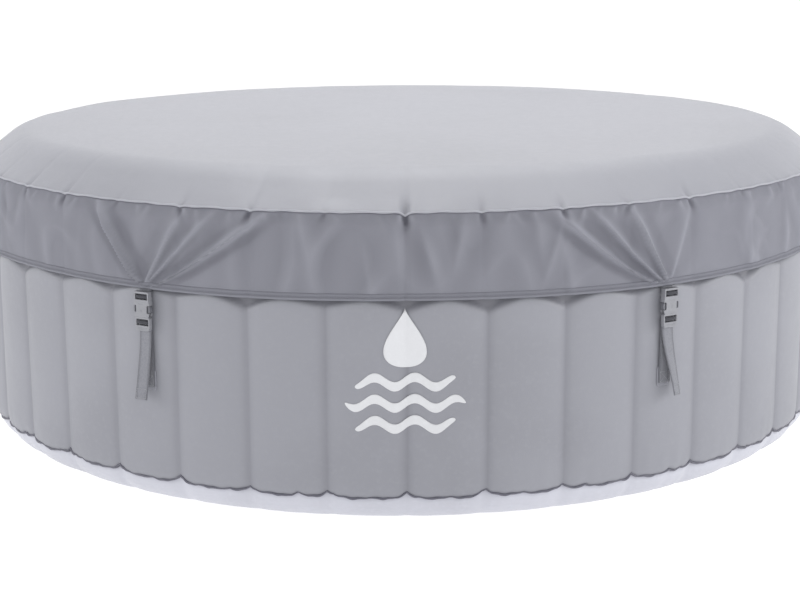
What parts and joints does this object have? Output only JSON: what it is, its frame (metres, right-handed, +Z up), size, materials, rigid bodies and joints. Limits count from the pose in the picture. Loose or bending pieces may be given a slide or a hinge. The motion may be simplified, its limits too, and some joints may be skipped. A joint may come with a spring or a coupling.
{
  "type": "inflatable hot tub",
  "caption": "Round inflatable hot tub with an upright air-column wall and a domed, padded lid held down by webbing straps with side-release buckles.",
  "frame": {"origin": "centre of the tub's round ground face", "axes": "+Z up, -Y to the front, +X to the right seen from the front"},
  "size_m": [2.1194, 2.136, 0.728],
  "materials": {
    "wall_pvc": "laminated PVC with a fine leather grain",
    "seam_pvc": "welded PVC edge",
    "base_pvc": "smooth PVC, slightly glossy",
    "liner_pvc": "smooth light PVC",
    "cover_fabric": "coated woven polyester, light grey",
    "skirt_fabric": "coated woven polyester, mid grey",
    "hem_fabric": "folded binding, stitched",
    "lining_pvc": "smooth PVC lining",
    "bladder_vinyl": "soft vinyl",
    "webbing": "woven polyester webbing",
    "patch_pvc": "welded PVC patch",
    "buckle_plastic": "moulded acetal, satin",
    "fitting_plastic": "moulded plastic, satin",
    "cap_plastic": "moulded plastic, satin",
    "seal_rubber": "soft rubber",
    "filter_paper": "pleated filter paper"
  },
  "bodies": {
    "tub": {"outer_wall": "wall_pvc", "wall_panel": "wall_pvc", "inner_wall": "liner_pvc", "liner_panel": "liner_pvc", "top_rim": "wall_pvc", "base_sheet": "base_pvc", "base_flank": "base_pvc", "base_weld_band": "seam_pvc", "floor_liner": "liner_pvc", "wall_webs": "liner_pvc", "bubble_tube": "fitting_plastic", "water_inlet": "fitting_plastic", "water_inlet_nut": "fitting_plastic", "water_outlet": "fitting_plastic", "water_outlet_nut": "fitting_plastic", "air_port": "fitting_plastic", "air_port_nut": "fitting_plastic", "drain_valve": "fitting_plastic", "wall_valve": "fitting_plastic", "filter_basket": "fitting_plastic", "filter_cartridge": "filter_paper", "tub_straps": "webbing", "anchor_patches": "patch_pvc", "buckle_tongue_1": "buckle_plastic", "buckle_tongue_2": "buckle_plastic", "buckle_tongue_3": "buckle_plastic", "buckle_tongue_4": "buckle_plastic", "buckle_tongue_5": "buckle_plastic", "buckle_tongue_6": "buckle_plastic"},
    "lid": {"cover_top": "cover_fabric", "cover_piping": "cover_fabric", "cover_skirt": "skirt_fabric", "cover_hem": "hem_fabric", "lid_bladder": "bladder_vinyl", "cover_lining": "lining_pvc", "lid_valve": "fitting_plastic", "lid_loops": "webbing", "buckle_socket_1": "buckle_plastic", "buckle_socket_2": "buckle_plastic", "buckle_socket_3": "buckle_plastic", "buckle_socket_4": "buckle_plastic", "buckle_socket_5": "buckle_plastic", "buckle_socket_6": "buckle_plastic"},
    "drain_seal": {"drain_seal": "seal_rubber"},
    "drain_cap": {"drain_cap": "cap_plastic"},
    "wall_valve_cap": {"wall_cap": "cap_plastic"},
    "lid_valve_cap": {"lid_cap": "cap_plastic"},
    "filter_cap": {"filter_cap": "cap_plastic"},
    "prong_left_1": {"buckle_prong_left_1": "buckle_plastic"},
    "prong_right_1": {"buckle_prong_right_1": "buckle_plastic"},
    "prong_left_2": {"buckle_prong_left_2": "buckle_plastic"},
    "prong_right_2": {"buckle_prong_right_2": "buckle_plastic"},
    "prong_left_3": {"buckle_prong_left_3": "buckle_plastic"},
    "prong_right_3": {"buckle_prong_right_3": "buckle_plastic"},
    "prong_left_4": {"buckle_prong_left_4": "buckle_plastic"},
    "prong_right_4": {"buckle_prong_right_4": "buckle_plastic"},
    "prong_left_5": {"buckle_prong_left_5": "buckle_plastic"},
    "prong_right_5": {"buckle_prong_right_5": "buckle_plastic"},
    "prong_left_6": {"buckle_prong_left_6": "buckle_plastic"},
    "prong_right_6": {"buckle_prong_right_6": "buckle_plastic"}
  },
  "joints": [
    {"name": "lid_lift", "type": "slide", "parent": "tub", "child": "lid", "axis": [0, 0, 1], "range_m": [0, 0.75]},
    {"name": "drain_seal_travel", "type": "slide", "parent": "tub", "child": "drain_seal", "axis": [-0.5314, 0.8471, 0], "range_m": [0, 0.012]},
    {"name": "drain_cap_turn", "type": "hinge", "parent": "drain_seal", "child": "drain_cap", "pos_m": [-0.56328, 0.89795, 0.105], "axis": [-0.5314, 0.8471, 0], "range_deg": [0, 1080]},
    {"name": "wall_valve_cap_turn", "type": "hinge", "parent": "tub", "child": "wall_valve_cap", "pos_m": [0.39164, 0.97423, 0.3], "axis": [0.373, 0.9278, 0], "range_deg": [0, 90]},
    {"name": "lid_valve_cap_turn", "type": "hinge", "parent": "lid", "child": "lid_valve_cap", "pos_m": [0, 0.7, 0.642], "axis": [0, 0, -1], "range_deg": [0, 90]},
    {"name": "filter_cap_turn", "type": "hinge", "parent": "tub", "child": "filter_cap", "pos_m": [0.04285, 0.62854, 0.19], "axis": [-0.068, -0.9977, 0], "range_deg": [0, 90]},
    {"name": "prong_left_squeeze_1", "type": "hinge", "parent": "tub", "child": "prong_left_1", "pos_m": [-0.55035, 0.89898, 0.4098], "axis": [0.5314, -0.8471, 0], "range_deg": [0, 7], "stiffness_Nm_per_rad": 0.05},
    {"name": "prong_right_squeeze_1", "type": "hinge", "parent": "tub", "child": "prong_right_1", "pos_m": [-0.56984, 0.88676, 0.4098], "axis": [0.5314, -0.8471, 0], "range_deg": [-7, 0], "stiffness_Nm_per_rad": 0.05},
    {"name": "prong_left_squeeze_2", "type": "hinge", "parent": "tub", "child": "prong_left_2", "pos_m": [-1.05078, 0.08316, 0.4098], "axis": [0.9977, -0.068, 0], "range_deg": [0, 7], "stiffness_Nm_per_rad": 0.05},
    {"name": "prong_right_squeeze_2", "type": "hinge", "parent": "tub", "child": "prong_right_2", "pos_m": [-1.05234, 0.06021, 0.4098], "axis": [0.9977, -0.068, 0], "range_deg": [-7, 0], "stiffness_Nm_per_rad": 0.05},
    {"name": "prong_left_squeeze_3", "type": "hinge", "parent": "tub", "child": "prong_left_3", "pos_m": [-0.5322, -0.90984, 0.4098], "axis": [0.4955, 0.8686, 0], "range_deg": [0, 7], "stiffness_Nm_per_rad": 0.05},
    {"name": "prong_right_squeeze_3", "type": "hinge", "parent": "tub", "child": "prong_right_3", "pos_m": [-0.51222, -0.92124, 0.4098], "axis": [0.4955, 0.8686, 0], "range_deg": [-7, 0], "stiffness_Nm_per_rad": 0.05},
    {"name": "prong_left_squeeze_4", "type": "hinge", "parent": "tub", "child": "prong_left_4", "pos_m": [0.53775, -0.90657, 0.4098], "axis": [-0.5195, 0.8545, 0], "range_deg": [0, 7], "stiffness_Nm_per_rad": 0.05},
    {"name": "prong_right_squeeze_4", "type": "hinge", "parent": "tub", "child": "prong_right_4", "pos_m": [0.5574, -0.89463, 0.4098], "axis": [-0.5195, 0.8545, 0], "range_deg": [-7, 0], "stiffness_Nm_per_rad": 0.05},
    {"name": "prong_left_squeeze_5", "type": "hinge", "parent": "tub", "child": "prong_left_5", "pos_m": [1.05085, 0.08224, 0.4098], "axis": [-0.996, -0.0889, 0], "range_deg": [0, 7], "stiffness_Nm_per_rad": 0.05},
    {"name": "prong_right_squeeze_5", "type": "hinge", "parent": "tub", "child": "prong_right_5", "pos_m": [1.0488, 0.10515, 0.4098], "axis": [-0.996, -0.0889, 0], "range_deg": [-7, 0], "stiffness_Nm_per_rad": 0.05},
    {"name": "prong_left_squeeze_6", "type": "hinge", "parent": "tub", "child": "prong_left_6", "pos_m": [0.55114, 0.89849, 0.4098], "axis": [-0.5135, -0.8581, 0], "range_deg": [0, 7], "stiffness_Nm_per_rad": 0.05},
    {"name": "prong_right_squeeze_6", "type": "hinge", "parent": "tub", "child": "prong_right_6", "pos_m": [0.5314, 0.91031, 0.4098], "axis": [-0.5135, -0.8581, 0], "range_deg": [-7, 0], "stiffness_Nm_per_rad": 0.05}
  ],
  "couplings": [
    {"joint": "drain_seal_travel", "follows": "drain_cap_turn", "m_per_rad": 0.00063662},
    {"joint": "prong_right_squeeze_1", "follows": "prong_left_squeeze_1", "ratio": -1},
    {"joint": "prong_right_squeeze_2", "follows": "prong_left_squeeze_2", "ratio": -1},
    {"joint": "prong_right_squeeze_3", "follows": "prong_left_squeeze_3", "ratio": -1},
    {"joint": "prong_right_squeeze_4", "follows": "prong_left_squeeze_4", "ratio": -1},
    {"joint": "prong_right_squeeze_5", "follows": "prong_left_squeeze_5", "ratio": -1},
    {"joint": "prong_right_squeeze_6", "follows": "prong_left_squeeze_6", "ratio": -1}
  ]
}
